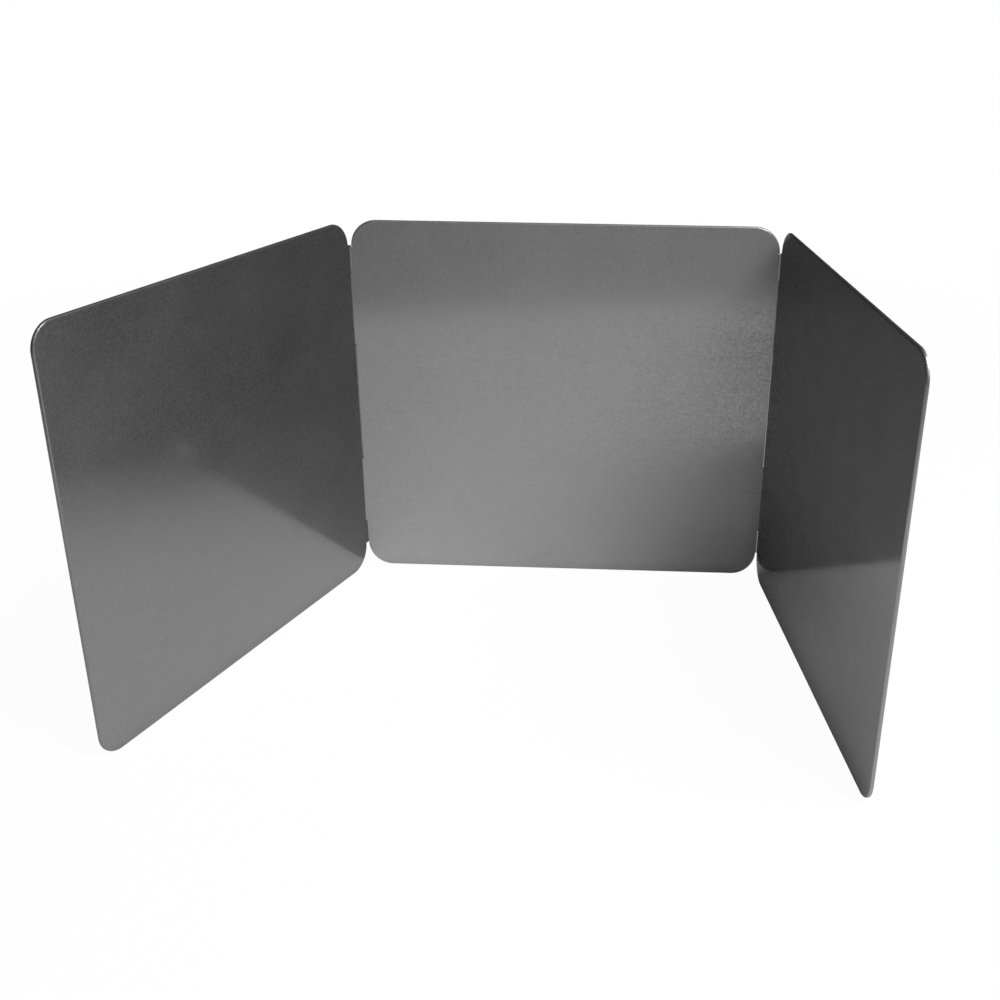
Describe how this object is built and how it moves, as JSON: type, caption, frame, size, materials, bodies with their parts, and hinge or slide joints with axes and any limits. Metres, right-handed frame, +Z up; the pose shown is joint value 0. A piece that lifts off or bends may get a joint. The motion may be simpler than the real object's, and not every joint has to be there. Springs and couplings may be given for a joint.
{
  "type": "folding splash guard",
  "caption": "Folding sheet-metal splash guard: a centre panel with a hinged side panel at each end, standing around a camp stove.",
  "frame": {"origin": "middle of the flat strip under the centre panel's bottom rim, where the guard stands", "axes": "+Z up; the guard opens towards -Y, where the cook stands; +X to the cook's right along the centre panel"},
  "size_m": [0.3849, 0.2465, 0.2286],
  "materials": {
    "satin_steel": "dark satin, smooth rolled sheet with a fine even grain",
    "pin_steel": "drawn wire, plain"
  },
  "bodies": {
    "centre": {"centre_panel": "satin_steel"},
    "left": {"left_panel": "satin_steel", "left_hinge_pin": "pin_steel"},
    "right": {"right_panel": "satin_steel", "right_hinge_pin": "pin_steel"}
  },
  "joints": [
    {"name": "left_hinge", "type": "hinge", "parent": "centre", "child": "left", "pos_m": [-0.1297, 0.0005, 0.1143], "axis": [0, 0, 1], "range_deg": [-247.6, 22.4]},
    {"name": "right_hinge", "type": "hinge", "parent": "centre", "child": "right", "pos_m": [0.1297, 0.0005, 0.1143], "axis": [0, 0, -1], "range_deg": [-257.57, 7.43]}
  ]
}
